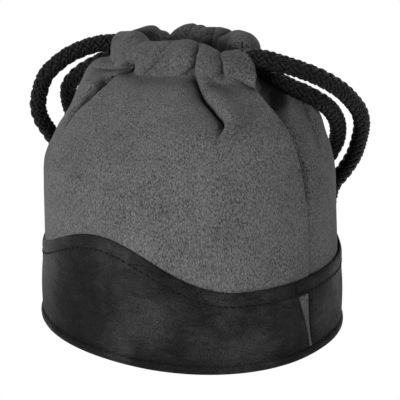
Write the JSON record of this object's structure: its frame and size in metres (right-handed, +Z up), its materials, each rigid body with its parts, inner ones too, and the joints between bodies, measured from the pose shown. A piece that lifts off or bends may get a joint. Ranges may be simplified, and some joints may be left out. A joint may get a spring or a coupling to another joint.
{
  "type": "lens pouch",
  "caption": "Soft drawcord pouch for a camera lens: padded leatherette base band with a wave edge, suede-like cloth body gathered at the mouth, and braided drawcords knotted at each side.",
  "frame": {"origin": "middle of the flat bottom, on the surface that the pouch stands on", "axes": "+Z up through the mouth, +X towards the right side seam, -Y towards the front"},
  "size_m": [0.1285, 0.1229, 0.1089],
  "materials": {
    "leatherette": "fine-grained, soft satin sheen",
    "suede": "short brushed nap",
    "lining": "matt brushed cloth",
    "foam": "matt closed-cell foam",
    "board": "raw fibreboard",
    "cord": "matt braid"
  },
  "bodies": {
    "pouch": {"base_panel": "leatherette", "base_piping": "leatherette", "base_board": "board", "base_foam": "foam", "base_lining": "lining", "band_front": "leatherette", "band_rear": "leatherette", "wall_foam": "foam", "wall_lining_front": "lining", "wall_lining_rear": "lining", "body_front": "suede", "body_rear": "suede", "casing_front": "suede", "casing_rear": "suede", "front_cord_run": "cord", "rear_cord_run": "cord"},
    "right_cord_ends": {"front_cord_right_strand": "cord", "rear_cord_right_strand": "cord", "right_knot": "cord"},
    "left_cord_ends": {"front_cord_left_strand": "cord", "rear_cord_left_strand": "cord", "left_knot": "cord"}
  },
  "joints": [
    {"name": "right_cord_pull", "type": "slide", "parent": "pouch", "child": "right_cord_ends", "axis": [1, 0, 0], "range_m": [0, 0.012]},
    {"name": "left_cord_pull", "type": "slide", "parent": "pouch", "child": "left_cord_ends", "axis": [-1, 0, 0], "range_m": [0, 0.012]}
  ]
}
